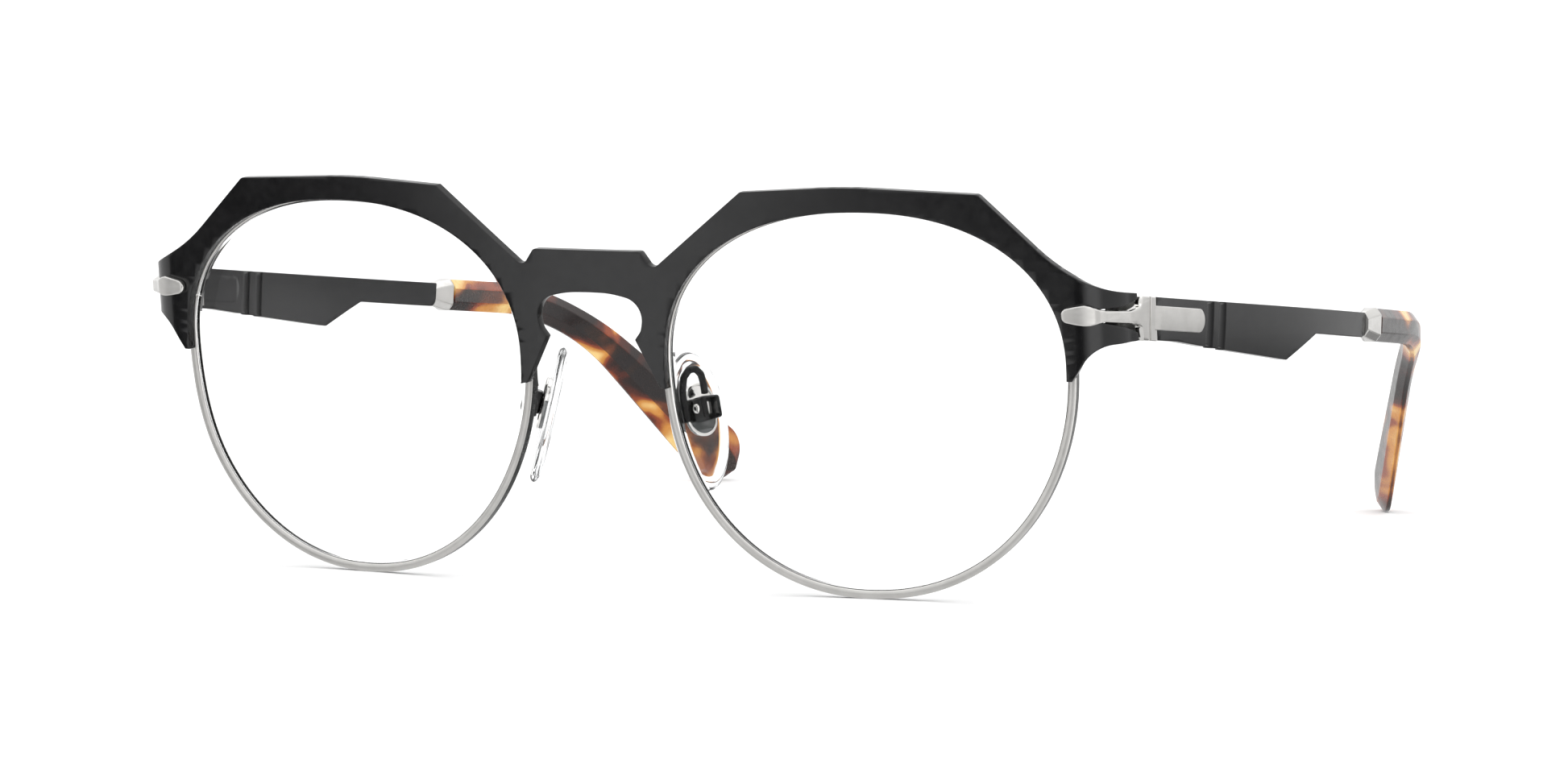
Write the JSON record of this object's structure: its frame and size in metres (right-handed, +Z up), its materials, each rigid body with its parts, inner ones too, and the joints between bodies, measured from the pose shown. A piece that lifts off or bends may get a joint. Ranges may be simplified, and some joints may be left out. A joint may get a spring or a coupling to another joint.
{
  "type": "half rim eyeglasses",
  "caption": "Eyeglasses with a bent sheet-metal brow front, thin metal rims, clear lenses, adjustable nose pads and folding temples with acetate tips.",
  "frame": {"origin": "on the table, midway between the temples and midway from the front to the temple tips", "axes": "+X towards the wearer's left, +Y from the front to the temple tips, +Z up"},
  "size_m": [0.1428, 0.1472, 0.051],
  "materials": {
    "satin_black": "satin black coating",
    "brushed_nickel": "satin nickel, polished edges",
    "dark_steel": "satin steel",
    "bright_steel": "polished steel",
    "clear_lens": "clear, polished",
    "clear_pad": "clear soft plastic",
    "tortoiseshell": "polished tortoiseshell acetate"
  },
  "bodies": {
    "front": {"front_plate": "satin_black", "rim_left": "brushed_nickel", "lens_left": "clear_lens", "rim_lock_upper_left": "dark_steel", "rim_lock_lower_left": "dark_steel", "rim_lock_screw_left": "bright_steel", "hinge_strap_left": "brushed_nickel", "hinge_front_leaf_left": "dark_steel", "hinge_screw_left": "bright_steel", "pad_arm_left": "satin_black", "pad_box_left": "satin_black", "pad_screw_left": "bright_steel", "rim_right": "brushed_nickel", "lens_right": "clear_lens", "rim_lock_upper_right": "dark_steel", "rim_lock_lower_right": "dark_steel", "rim_lock_screw_right": "bright_steel", "hinge_strap_right": "brushed_nickel", "hinge_front_leaf_right": "dark_steel", "hinge_screw_right": "bright_steel", "pad_arm_right": "satin_black", "pad_box_right": "satin_black", "pad_screw_right": "bright_steel"},
    "temple_left": {"hinge_temple_leaf_left": "brushed_nickel", "temple_arm_left": "satin_black", "ferrule_left": "brushed_nickel", "core_wire_left": "bright_steel", "temple_tip_left": "tortoiseshell"},
    "temple_right": {"hinge_temple_leaf_right": "brushed_nickel", "temple_arm_right": "satin_black", "ferrule_right": "brushed_nickel", "core_wire_right": "bright_steel", "temple_tip_right": "tortoiseshell"},
    "nose_pad_left": {"nose_pad_left": "clear_pad", "pad_insert_left": "brushed_nickel"},
    "nose_pad_right": {"nose_pad_right": "clear_pad", "pad_insert_right": "brushed_nickel"}
  },
  "joints": [
    {"name": "temple_fold_left", "type": "hinge", "parent": "front", "child": "temple_left", "pos_m": [0.0656, -0.05784, 0.0352], "axis": [0, -0.0095, 1], "range_deg": [0, 86]},
    {"name": "temple_fold_right", "type": "hinge", "parent": "front", "child": "temple_right", "pos_m": [-0.0656, -0.05784, 0.0352], "axis": [0, -0.0095, 1], "range_deg": [-76, 0]},
    {"name": "pad_rock_left", "type": "hinge", "parent": "front", "child": "nose_pad_left", "pos_m": [0.01242, -0.06431, 0.02276], "axis": [0.485, 0.8732, 0.0479], "range_deg": [-8, 8]},
    {"name": "pad_rock_right", "type": "hinge", "parent": "front", "child": "nose_pad_right", "pos_m": [-0.01242, -0.06431, 0.02276], "axis": [-0.485, 0.8732, 0.0479], "range_deg": [-8, 8]}
  ]
}
